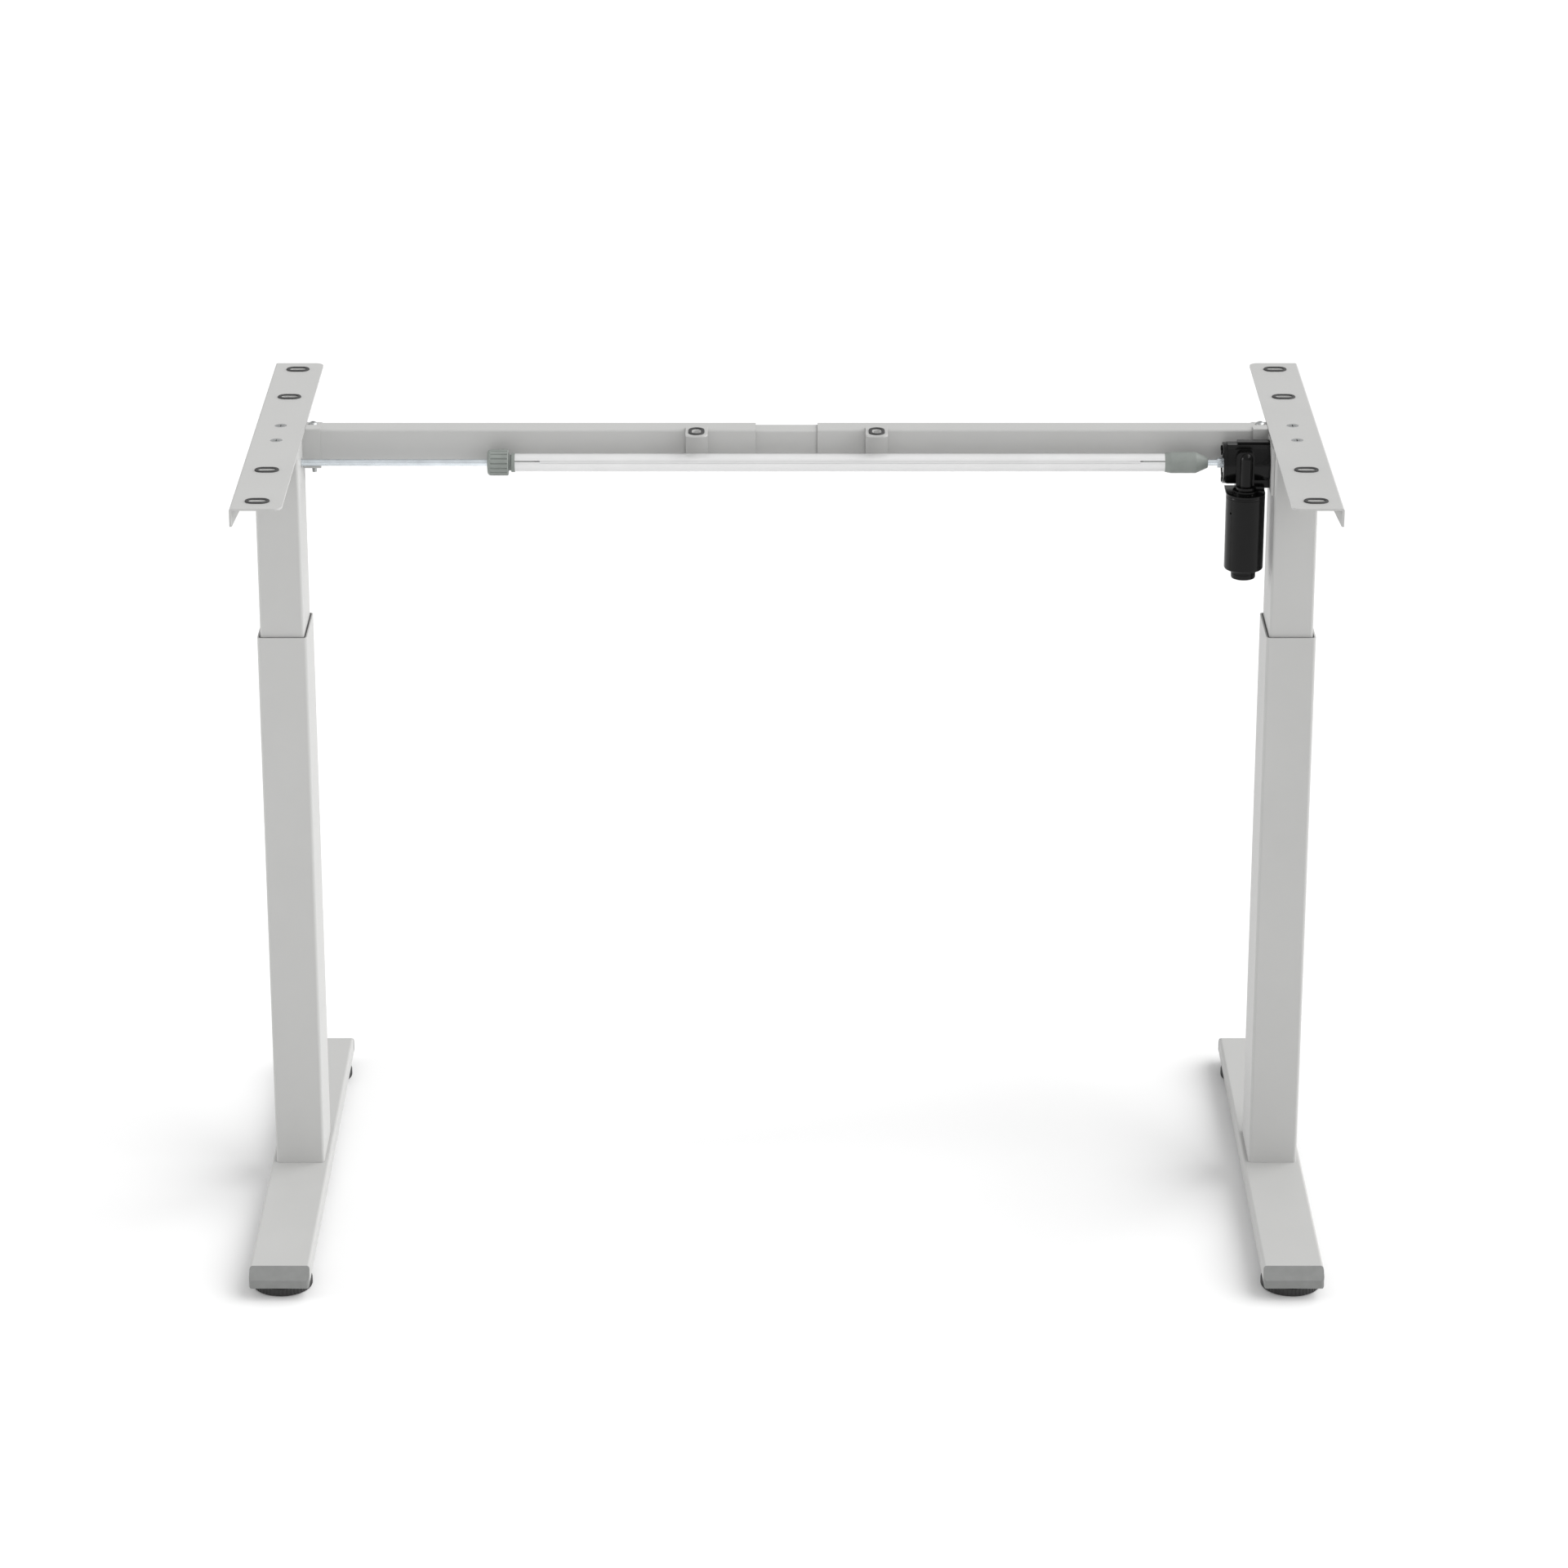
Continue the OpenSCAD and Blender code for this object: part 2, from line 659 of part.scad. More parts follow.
module gearbox_housing() {
    left = box_left_x + cap_t;
    width = box_right_x - left;
    bulge_r = 6.6;
    bulge_top = shaft_z + 16.5;
    web_left = -10.2;
    web_right = 8;
    web_h = shaft_z + 16 - motor_top;
    web_r = 5;
    flange_t = 2.2;
    low_x = motor_x + 6.5;
    low_z = motor_top + 5.5;
    // radius, height and front of the two steps round the bulge's foot
    steps = [[13, 5.3, -6], [10, 8.5, -2]];
    color(black) difference() {
        union() {
            intersection() {
                bar_x(left, box_right_x, 21);
                translate([left, -30, shaft_z - 30]) cube([60, box_back + 30, 60]);
            }
            translate([left, -12, shaft_z]) cube([width, 10.5, 22]);
            translate([left + 10, -8.7, shaft_z]) cube([width - 10, 8.7, 24]);
            translate([low_x, -16, low_z]) cube([box_right_x - low_x, box_back + 16, shaft_z - low_z]);
            translate([motor_x, -5, motor_top + 1]) rotate([90, 0, 0]) linear_extrude(17.5) {
                translate([web_left, 0]) square([web_right - web_left, web_h - web_r]);
                translate([web_left + web_r, 0]) square([web_right - web_left - 2 * web_r, web_h]);
                for (x = [web_left + web_r, web_right - web_r])
                    translate([x, web_h - web_r]) circle(web_r);
            }
            translate([motor_x, motor_y, 0]) {
                translate([0, 0, motor_top + 2])
                    cylinder(r = bulge_r, h = bulge_top - bulge_r - motor_top - 2 + eps);
                translate([0, 0, bulge_top - bulge_r]) rotate_extrude()
                    polygon([[0, 0], for (a = [0 : 9 : 90]) bulge_r * [cos(a), sin(a)]]);
                translate([0, 0, motor_top + fit]) linear_extrude(flange_t) {
                    circle(motor_d / 2);
                    translate([-motor_d / 2, 0]) square([motor_d, 3.2 - motor_y]);
                }
                for (s = steps) translate([0, 0, motor_top + 1]) {
                    cylinder(r = s[0], h = s[1] - 1);
                    translate([0, s[2], 0]) cube([motor_d / 2 - 1, 20, s[1] - 1]);
                }
            }
        }
        bar_x(left - 1, motor_x + 5, wheel_r + 1.1);
        // room for the beam bracket's front wall
        translate([box_right_x - 18, beam_y - beam_d / 2 - sheet - 0.5, shaft_z - 30])
            cube([20, 5, 60]);
        bar_x(left, box_right_x + 1, 5 + 2 * fit);
        translate([motor_x, motor_y, motor_top - 1]) {
            cylinder(r = 5.6, h = shaft_z + 11.5 - motor_top + 1);
            cylinder(r = 3.8, h = shaft_z + 12.9 - motor_top + 1);
        }
    }
}

// Dished cap with radial ribs, open for the shaft
module gearbox_cap() {
    ribs = 12;
    r = 20.5;
    rim = 3;
    dish = 2;
    inner_face = box_left_x + cap_t - fit;
    color(black) difference() {
        intersection() {
            union() {
                difference() {
                    bar_x(box_left_x, inner_face, r);
                    bar_x(box_left_x - 1, box_left_x + dish, r - rim);
                }
                bar_x(box_left_x + 0.6, inner_face, 10);
                cap_screw_places() cylinder(r = 3, h = cap_t - 1);
                for (i = [0 : ribs - 1]) along_x(box_left_x + 0.8) rotate(i * 360 / ribs)
                    translate([9, -0.8, 0]) cube([9.5, 1.6, dish]);
            }
            translate([box_left_x - 5, -30, shaft_z - 30]) cube([20, box_back + 29.7, 60]);
        }
        bar_x(box_left_x - 3, box_left_x + cap_t + 1, 5 + 2 * fit);
        cap_screw_places() translate([0, 0, -1]) cylinder(r = 1.7, h = 20);
    }
}

module cap_screw_places() {
    for (a = [0, 130, 230]) along_x(box_left_x) rotate(a) translate([17.4, 0, 0]) children();
}

module gearbox_screws() {
    head_h = 0.8;
    color(black) cap_screw_places() {
        translate([0, 0, -head_h - fit]) difference() {
            cylinder(r = 2.6, h = head_h);
            translate([0, 0, -1]) cylinder(r = 1.2, h = 1.6, $fn = 6);
        }
        translate([0, 0, -fit - eps]) cylinder(r = 1.5, h = cap_t - 0.5);
    }
}

module motor_can() {
    r = motor_d / 2;
    h = motor_top - motor_bottom;
    color(black) translate([motor_x, motor_y, motor_bottom]) difference() {
        rotate_extrude()
            polygon([[5, 0], [r - 2.5, 0], [r, 2.5], [r, h - 0.6], [r - 0.6, h], [r - 1.6, h],
                     [r - 1.6, 3], [5, 3]]);
        rotate(-142) translate([0, 0, h - 16]) rotate([0, 90, 0]) cylinder(r = 1.2, h = 2 * r);
    }
}

module motor_end_bush() {
    r = 12.3;
    color(black) translate([motor_x, motor_y, motor_bottom - 9]) difference() {
        union() {
            cylinder(r1 = r - 0.8, r2 = r, h = 1.5);
            translate([0, 0, 1.5 - eps]) cylinder(r = r, h = 7.5 - fit);
        }
        translate([0, 0, 3]) cylinder(r = 4 + fit, h = 8);
    }
}

module motor_armature() {
    color(zinc) translate([motor_x, motor_y, 0]) {
        translate([0, 0, motor_bottom - 5]) cylinder(r = 4, h = motor_top - 1 - motor_bottom + 5);
        translate([0, 0, motor_bottom + 14]) cylinder(r = 15, h = 46);
        translate([0, 0, motor_bottom + 64]) cylinder(r = 8, h = 10);
    }
}

// Right handed single start worm, its thread set into the wheel's tooth gap
module motor_worm() {
    start = shaft_z - 11;
    len = 22;
    core = 3.5;
    tip = 5.3;
    // the thread's root sits a little inside the core
    root = core - 0.4;
    base = 90 - 360 * (shaft_z - start) / worm_pitch;
    color(zinc) translate([motor_x, motor_y, 0]) {
        translate([0, 0, motor_top - 0.9]) cylinder(r = core, h = start + len + 1.8 - motor_top);
        translate([0, 0, start]) rotate(base)
            linear_extrude(height = len, twist = -360 * len / worm_pitch, slices = 86, segments = 7)
                polygon([[core - 1.5, 0], root * [cos(-60), sin(-60)], tip * [cos(-38), sin(-38)],
                         tip * [cos(-13), sin(-13)], tip * [cos(13), sin(13)], tip * [cos(38), sin(38)],
                         root * [cos(60), sin(60)]]);
    }
}

module motor_plate() {
    front = -34.5;
    back = beam_y - beam_d / 2 - sheet - 0.4;
    low = shaft_z - 24;
    high = shaft_z + 25;
    t = outer_w / 2 - inner_w / 2 - 0.2;
    slots = [[2.5, 25], [37, 6]];
    color(light_grey) translate([box_right_x + 0.1, 0, 0]) difference() {
        translate([0, front, low]) cube([t, back - front, high - low]);
        bar_x(-1, t + 1, 7);
        for (s = slots) translate([-1, front + 3, low + s[0]]) cube([t + 2, 2, s[1]]);
    }
}

// ---- Every node, one line each ----

foot("left");  // left_foot
foot("right");  // right_foot
foot_caps("left");  // left_foot_caps
foot_caps("right");  // right_foot_caps
outer_tube("left");  // left_outer_tube
outer_tube("right");  // right_outer_tube
guide_sleeve("left");  // left_guide_sleeve
guide_sleeve("right");  // right_guide_sleeve
foot_screws("left");  // left_foot_screws
foot_screws("right");  // right_foot_screws
push_tube("left");  // left_push_tube
push_tube("right");  // right_push_tube
spindle_nut("left");  // left_spindle_nut
spindle_nut("right");  // right_spindle_nut
glide("left", -1);  // left_front_glide
glide("right", -1);  // right_front_glide
glide("left", 1);  // left_rear_glide
glide("right", 1);  // right_rear_glide
inner_tube("left");  // left_inner_tube
inner_tube("right");  // right_inner_tube
side_bracket("left");  // left_side_bracket
side_bracket("right");  // right_side_bracket
grommets("left");  // left_grommets
grommets("right");  // right_grommets
bracket_screws("left");  // left_bracket_screws
bracket_screws("right");  // right_bracket_screws
beam_bracket("left");  // left_beam_bracket
beam_bracket("right");  // right_beam_bracket
beam_bolt("left");  // left_beam_bolt
beam_bolt("right");  // right_beam_bolt
beam_tube("left");  // left_beam_tube
beam_tube("right");  // right_beam_tube
ear("left");  // left_ear
ear("right");  // right_ear
gear_housing("left");  // left_gear_housing
gear_housing("right");  // right_gear_housing
bearing("left");  // left_bearing
bearing("right");  // right_bearing
spindle("left");  // left_spindle
spindle("right");  // right_spindle
bevel_gear("left");  // left_bevel_gear
bevel_gear("right");  // right_bevel_gear
pinion("left");  // left_pinion
pinion("right");  // right_pinion
beam_centre_tube();
hex_rod();
shaft_tube();
shaft_collet();
clamp_nut();
shaft_coupler();
output_shaft();
worm_wheel();
gearbox_housing();
gearbox_cap();
gearbox_screws();
motor_can();
motor_end_bush();
motor_armature();
motor_worm();
motor_plate();
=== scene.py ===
"""The desk frame's visual model: detailed pieces over the CAD frame, materials, studio and camera.

Shapes are drawn in millimetres and scaled to metres when they become objects.
"""

import json
import math

import bmesh
import bpy
from mathutils import Matrix, Vector


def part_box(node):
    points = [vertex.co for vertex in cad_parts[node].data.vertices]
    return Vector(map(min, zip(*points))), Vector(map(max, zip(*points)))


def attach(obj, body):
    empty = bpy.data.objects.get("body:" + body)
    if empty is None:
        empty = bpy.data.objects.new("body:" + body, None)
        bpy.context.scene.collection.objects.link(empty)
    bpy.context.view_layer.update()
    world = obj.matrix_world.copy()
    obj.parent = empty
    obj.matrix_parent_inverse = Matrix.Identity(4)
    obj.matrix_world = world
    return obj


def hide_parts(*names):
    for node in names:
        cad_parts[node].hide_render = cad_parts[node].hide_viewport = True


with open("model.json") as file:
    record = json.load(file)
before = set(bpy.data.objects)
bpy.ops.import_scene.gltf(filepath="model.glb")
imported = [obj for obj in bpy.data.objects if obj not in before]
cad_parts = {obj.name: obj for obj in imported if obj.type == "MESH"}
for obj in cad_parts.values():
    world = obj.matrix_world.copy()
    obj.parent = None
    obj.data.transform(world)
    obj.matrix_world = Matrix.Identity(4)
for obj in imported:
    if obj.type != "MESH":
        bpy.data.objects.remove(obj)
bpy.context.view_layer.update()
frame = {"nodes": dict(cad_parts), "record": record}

MM = 0.001
TAU = 2 * math.pi
SIDES = ("left", "right")
ENDS = ("front", "rear")
NOISE_LOW, NOISE_HIGH = 0.3, 0.7  # nearly all of a noise texture lies between these
RECORD = frame["record"]
MOUNTS = {mount["name"]: mount for mount in RECORD["mounts"]}
BODIES = RECORD["behaviour"]["bodies"]
BODY_OF = {node: body for body, members in BODIES.items() for node in members}
SLOT_OF = {part["node"]: part["material_slot"] for part in RECORD["subparts"]}


# ---- Materials ----


def new_material(name, rough, metallic=0.0, coat=0.0, shine=0.5):
    """A material and its shader, with the plain constants set on the shader's own sockets."""
    mat = bpy.data.materials.new(name)
    mat.use_nodes = True
    shader = mat.node_tree.nodes["Principled BSDF"]
    shader.inputs["Roughness"].default_value = rough
    shader.inputs["Metallic"].default_value = metallic
    shader.inputs["Coat Weight"].default_value = coat
    shader.inputs["Coat Roughness"].default_value = 0.15
    shader.inputs["Specular IOR Level"].default_value = shine
    return mat, shader


def add_noise(mat, scale, detail=2.0, stretch=(1, 1, 1)):
    """A noise texture in the object's own space; scale is in lumps per metre."""
    nodes, links = mat.node_tree.nodes, mat.node_tree.links
    place = nodes.new("ShaderNodeTexCoord")
    mapping = nodes.new("ShaderNodeMapping")
    mapping.inputs["Scale"].default_value = stretch
    noise = nodes.new("ShaderNodeTexNoise")
    noise.inputs["Scale"].default_value = scale
    noise.inputs["Detail"].default_value = detail
    links.new(place.outputs["Object"], mapping.inputs["Vector"])
    links.new(mapping.outputs["Vector"], noise.inputs["Vector"])
    return noise


def vary_colour(mat, shader, colour, amount, scale):
    """The base colour drifts by amount, in soft patches."""
    noise = add_noise(mat, scale, 3.0)
    ramp = mat.node_tree.nodes.new("ShaderNodeValToRGB")
    for stop, at, factor in ((0, NOISE_LOW, 1 - amount), (1, NOISE_HIGH, 1 + amount)):
        ramp.color_ramp.elements[stop].position = at
        ramp.color_ramp.elements[stop].color = (*(min(1.0, c * factor) for c in colour), 1)
    mat.node_tree.links.new(noise.outputs["Fac"], ramp.inputs["Fac"])
    mat.node_tree.links.new(ramp.outputs["Color"], shader.inputs["Base Color"])


def vary_roughness(mat, shader, amount, scale, stretch=(1, 1, 1)):
    """The roughness drifts by amount either way round its constant."""
    rough = shader.inputs["Roughness"].default_value
    noise = add_noise(mat, scale, 2.0, stretch)
    spread = mat.node_tree.nodes.new("ShaderNodeMapRange")
    spread.inputs["From Min"].default_value = NOISE_LOW
    spread.inputs["From Max"].default_value = NOISE_HIGH
    spread.inputs["To Min"].default_value = rough - amount
    spread.inputs["To Max"].default_value = rough + amount
    mat.node_tree.links.new(noise.outputs["Fac"], spread.inputs["Value"])
    mat.node_tree.links.new(spread.outputs["Result"], shader.inputs["Roughness"])


def add_bump(mat, shader, scale, height, strength=0.5, stretch=(1, 1, 1)):
    """Fine relief: scale in grains per metre, height in millimetres."""
    noise = add_noise(mat, scale, 2.0, stretch)
    bump = mat.node_tree.nodes.new("ShaderNodeBump")
    bump.inputs["Strength"].default_value = strength
    bump.inputs["Distance"].default_value = height * MM
    mat.node_tree.links.new(noise.outputs["Fac"], bump.inputs["Height"])
    mat.node_tree.links.new(bump.outputs["Normal"], shader.inputs["Normal"])


def powder_coat():
    """Light grey powder coat: a fine orange peel and a soft sheen."""
    mat, shader = new_material("powder_coat", 0.46, shine=0.35)
    vary_colour(mat, shader, (0.42, 0.42, 0.413), 0.015, 12)
    vary_roughness(mat, shader, 0.05, 900)
    add_bump(mat, shader, 1100, 0.02)
    return mat


def plastic(name, colour, rough, grain, height):
    """Moulded plastic or rubber with a spark-eroded grain."""
    mat, shader = new_material(name, rough)
    vary_colour(mat, shader, colour, 0.06, 90)
    vary_roughness(mat, shader, 0.07, 300)
    add_bump(mat, shader, grain, height)
    return mat


def steel(name, colour, rough, stretch, height=0.006):
    """Plated, rolled or ground metal with its fine marks along one direction."""
    mat, shader = new_material(name, rough, 1.0)
    vary_colour(mat, shader, colour, 0.07, 70)
    vary_roughness(mat, shader, 0.06, 500, stretch)
    add_bump(mat, shader, 900, height, 0.4, stretch)
    return mat


def cast_alloy():
    """Die cast metal with a sandy skin."""
    mat, shader = new_material("cast_alloy", 0.55, 1.0)
    vary_colour(mat, shader, (0.62, 0.62, 0.62), 0.08, 60)
    vary_roughness(mat, shader, 0.08, 260)
    add_bump(mat, shader, 700, 0.06, 0.6)
    return mat


def satin_tube():
    """Bright satin tube with drawing lines along it."""
    along_x = (0.02, 1, 1)
    mat, shader = new_material("satin_aluminium", 0.34, 0.4, 0.1)
    vary_colour(mat, shader, (0.68, 0.68, 0.68), 0.02, 40)
    vary_roughness(mat, shader, 0.05, 400, along_x)
    add_bump(mat, shader, 900, 0.004, 0.3, along_x)
    return mat


def motor_black():
    """Semi-gloss black paint and plastic, with faint turned rings."""
    mat, shader = new_material("motor_black", 0.2, shine=0.2)
    vary_colour(mat, shader, (0.003, 0.003, 0.003), 0.2, 60)
    vary_roughness(mat, shader, 0.05, 200, (0.05, 0.05, 1))
    add_bump(mat, shader, 700, 0.006, 0.35, (0.04, 0.04, 1))
    return mat


MATERIALS = {
    "powder_coat": powder_coat(),
    "cap_plastic": plastic("cap_plastic", (0.18, 0.184, 0.18), 0.5, 1500, 0.02),
    "pad_plastic": plastic("pad_plastic", (0.02, 0.02, 0.02), 0.4, 800, 0.01),
    "glide_plastic": plastic("glide_plastic", (0.018, 0.018, 0.018), 0.42, 1200, 0.015),
    "grommet_rubber": plastic("grommet_rubber", (0.026, 0.026, 0.026), 0.6, 1600, 0.015),
    "zinc_steel": steel("zinc_steel", (0.74, 0.79, 0.83), 0.28, (0.05, 1, 1)),
    "screw_steel": steel("screw_steel", (0.42, 0.43, 0.43), 0.42, (1, 1, 1)),
    "spindle_steel": steel("spindle_steel", (0.55, 0.55, 0.54), 0.3, (1, 1, 0.1)),
    "bearing_steel": steel("bearing_steel", (0.6, 0.6, 0.62), 0.2, (1, 1, 8), 0.002),
    "gear_steel": steel("gear_steel", (0.45, 0.44, 0.42), 0.32, (1, 1, 1)),
    "nut_plastic": plastic("nut_plastic", (0.8, 0.78, 0.7), 0.45, 900, 0.01),
    "cast_alloy": cast_alloy(),
    "satin_aluminium": satin_tube(),
    "shaft_plastic": plastic("shaft_plastic", (0.2, 0.218, 0.204), 0.5, 1300, 0.02),
    "motor_black": motor_black(),
    "armature_steel": steel("armature_steel", (0.2, 0.19, 0.18), 0.5, (1, 1, 12), 0.05),
}


# ---- Mesh helpers ----


def span(node):
    """Low and high corners of a CAD node, in millimetres."""
    low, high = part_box(node)
    return low / MM, high / MM


def centre(node):
    """Middle of a CAD node, in millimetres."""
    low, high = span(node)
    return (low + high) / 2


def upright(x, y, z):
    """Places a shape that is drawn along Z."""
    return Matrix.Translation((x, y, z))


def sideways(x, y, z):
    """Places a shape that is drawn along Z so that it runs along +X."""
    return Matrix.Translation((x, y, z)) @ Matrix.Rotation(math.pi / 2, 4, "Y")


def loft(bm, rings, place, closed=False, caps=True):
    """Quads between rings of points. A closed loft joins the last ring to the first."""
    rows = [[bm.verts.new(place @ Vector(p)) for p in ring] for ring in rings]
    count = len(rows[0])
    pairs = list(zip(rows, rows[1:])) + ([(rows[-1], rows[0])] if closed else [])
    for a, b in pairs:
        for i in range(count):
            j = (i + 1) % count
            bm.faces.new((a[i], a[j], b[j], b[i]))
    if caps and not closed:
        bm.faces.new(reversed(rows[0]))
        bm.faces.new(rows[-1])


def turned(bm, profile, place, segments=64, shape=None, hollow=False):
    """A profile of (radius, height) points turned round Z. shape(angle, radius, height) gives the
    radius of a grooved form. A hollow one is a closed loop of points and has no caps."""
    shape = shape or (lambda angle, radius, height: radius)
    rings = []
    for r, h in profile:
        ring = []
        for i in range(segments):
            a = TAU * i / segments
            grown = shape(a, r, h)
            ring.append((grown * math.cos(a), grown * math.sin(a), h))
        rings.append(ring)
    loft(bm, rings, place, closed=hollow, caps=not hollow)


def arc(cx, cy, radius, start, end, steps):
    """Points round a centre, between two angles in degrees."""
    turns = [math.radians(start + (end - start) * i / steps) for i in range(steps + 1)]
    return [(cx + radius * math.cos(t), cy + radius * math.sin(t)) for t in turns]


def groove_depth(angle, count, width, depth):
    """Depth at an angle of round-bottomed grooves, each as wide as this fraction of their pitch."""
    roundness = 0.6
    across = (angle / TAU * count) % 1.0 - 0.5
    if abs(across) >= width / 2:
        return 0.0
    return depth * math.cos(math.pi * across / width) ** roundness


def obround(length, width):
    """A slot outline with its length along X."""
    steps = 12
    r = width / 2
    flat = length / 2 - r
    return arc(flat, 0, r, -90, 90, steps) + arc(-flat, 0, r, 90, 270, steps)


def thread(bm, radius, depth, pitch, low, high, place, segments=20, starts=1):
    """A rod from low to high whose surface is a helical thread that runs out at both ends."""
    rings_per_turn = 4
    crest_width = 1.6
    run_out = 8
    steps = max(2, round((high - low) / pitch * rings_per_turn))
    rings = []
    for k in range(steps + 1):
        z = low + (high - low) * k / steps
        ring = []
        for i in range(segments):
            a = TAU * i / segments
            phase = ((z - low) / pitch - starts * i / segments) % 1.0
            crest = 1 - abs(2 * phase - 1)
            ends = min(1.0, run_out * min(k, steps - k) / steps)
            r = radius - depth * (1 - min(1.0, crest_width * crest) * ends)
            ring.append((r * math.cos(a), r * math.sin(a), z))
        rings.append(ring)
    loft(bm, rings, place)


def make_piece(name, bm, nodes, smooth=33):
    """A shown object from a mesh in metres. It stands for these CAD nodes of one body, and edges
    sharper than smooth degrees stay hard."""
    mesh = bpy.data.meshes.new(name)
    bmesh.ops.recalc_face_normals(bm, faces=bm.faces)
    bm.to_mesh(mesh)
    bm.free()
    mesh.shade_smooth()
    mesh.set_sharp_from_angle(angle=math.radians(smooth))
    mesh.materials.append(MATERIALS[SLOT_OF[nodes[0]]])
    obj = bpy.data.objects.new(name, mesh)
    bpy.context.scene.collection.objects.link(obj)
    weighted = obj.modifiers.new("even_shading", "WEIGHTED_NORMAL")
    weighted.keep_sharp = True
    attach(obj, BODY_OF[nodes[0]])
    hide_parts(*nodes)


def built(name, bm, *nodes, smooth=33):
    """A piece from a mesh that was drawn in millimetres."""
    bmesh.ops.scale(bm, vec=(MM, MM, MM), verts=bm.verts)
    return make_piece(name, bm, nodes, smooth)


def round_edges(bm, origin, chosen, width, segments):
    """Rounds the hard edges. chosen picks them by a middle point, in millimetres from origin."""
    least_angle = math.radians(32)
    hard = []
    for edge in bm.edges:
        if len(edge.link_faces) == 2 and edge.calc_face_angle(0) > least_angle:
            middle = (edge.verts[0].co + edge.verts[1].co) / 2 / MM - origin
            if chosen(middle):
                hard.append(edge)
    bmesh.ops.bevel(bm, geom=hard, offset=width * MM, offset_type="OFFSET", segments=segments,
                    profile=0.5, affect="EDGES", clamp_overlap=True)


def refined(node, width=0.3, segments=2, chosen=lambda p: True, bend=None):
    """A copy of a CAD node with its hard edges rounded, as they are chosen round its own centre.
    bend is the test for the edges of a sheet bend, and its radius: they are rounded first."""
    same_point = 0.002 * MM
    flat = math.radians(0.4)
    bm = bmesh.new()
    bm.from_mesh(frame["nodes"][node].data)
    bmesh.ops.remove_doubles(bm, verts=bm.verts, dist=same_point)
    bmesh.ops.dissolve_limit(bm, angle_limit=flat, verts=bm.verts, edges=bm.edges)
    origin = centre(node)
    if bend:
        round_edges(bm, origin, bend[0], bend[1], 5)
    round_edges(bm, origin, chosen, width, segments)
    make_piece(f"{node}_piece", bm, (node,))


def mesh_object(name, bm):
    """A helper object for a boolean cut."""
    bmesh.ops.recalc_face_normals(bm, faces=bm.faces)
    mesh = bpy.data.meshes.new(name)
    bm.to_mesh(mesh)
    obj = bpy.data.objects.new(name, mesh)
    bpy.context.scene.collection.objects.link(obj)
    return obj


def drilled(bm, place, radius, low, high):
    """Cuts a round hole, from low to high along the Z axis of place, into a mesh."""
    rod = bmesh.new()
    turned(rod, [(radius, low), (radius, high)], place, 20)
    target = mesh_object("drilled", bm)
    drill = mesh_object("drill", rod)
    rod.free()
    cut = target.modifiers.new("hole", "BOOLEAN")
    cut.object = drill
    cut.solver = "EXACT"
    bpy.context.view_layer.update()
    result = target.evaluated_get(bpy.context.evaluated_depsgraph_get())
    bm.clear()
    bm.from_mesh(result.data)
    for helper in (target, drill):
        bpy.data.meshes.remove(helper.data)


# ---- Feet and glides ----


def foot_caps(side):
    """The caps get softly rounded edges on the part that shows, up to its joint with the foot."""
    node = f"{side}_foot_caps"
    nose = 13.5
    low, high = span(node)
    joint = (high.y - low.y) / 2 - nose
    refined(node, width=0.7, segments=3, chosen=lambda p: abs(p.y) > joint)


def glide(side, end):
    """Ribbed levelling glide with a domed top, on a threaded stud."""
    node = f"{side}_{end}_glide"
    low, high = span(node)
    mid = centre(node)
    r = (high.x - low.x) / 2
    ribs = 48
    rib_gap = 0.5
    rib_depth = 0.75
    rim = 8.4
    shoulder = 12.3
    stud_r = 4.0
    pitch = 1.25

    def ribbed(angle, radius, height):
        """The ribs start above the foot's rounded edge and cover its rim only."""
        fade = min(1.0, max(0.0, (height - 0.9) / 0.8)) if radius > r - 3 else 0.0
        return radius - fade * groove_depth(angle, ribs, rib_gap, rib_depth)

    profile = [(r - 2.2, 0), (r - 0.9, 0.25), (r - 0.2, 1.0), (r, 1.8), (r, 4.5), (r, rim - 1.0)]
    profile += [(r - 0.3, rim - 0.2), (r - 1.2, rim + 0.5), (r - 4.5, rim + 1.6)]
    profile += [(20, shoulder - 0.6), (17.5, shoulder), (stud_r + 0.3, shoulder)]
    bm = bmesh.new()
    place = upright(mid.x, mid.y, low.z)
    turned(bm, profile, place, ribs * 6, ribbed)
    thread(bm, stud_r, 0.45, pitch, shoulder - 0.3, high.z - low.z, place)
    built(f"{node}_piece", bm, node, smooth=40)


# ---- Bracket fittings ----


def grommet(bm, x, y, z, turn):
    """A flat rubber ring with rounded edges; z is the height that it lies on."""
    length, width, rim, tall = 24.0, 16.0, 3.3, 1.2
    section = [(0, 0.0), (0, tall - 0.4)] + arc(0.4, tall - 0.4, 0.4, 150, 90, 2)
    section += arc(rim - 0.8, tall - 0.8, 0.8, 90, 0, 4) + [(rim, 0.0)]
    place = Matrix.Translation((x, y, z)) @ Matrix.Rotation(math.radians(turn), 4, "Z")
    rings = []
    for out, h in section:
        grown = 2 * (out - rim)
        rings.append([(p[0], p[1], h) for p in obround(length + grown, width + grown)])
    loft(bm, rings, place, closed=True)


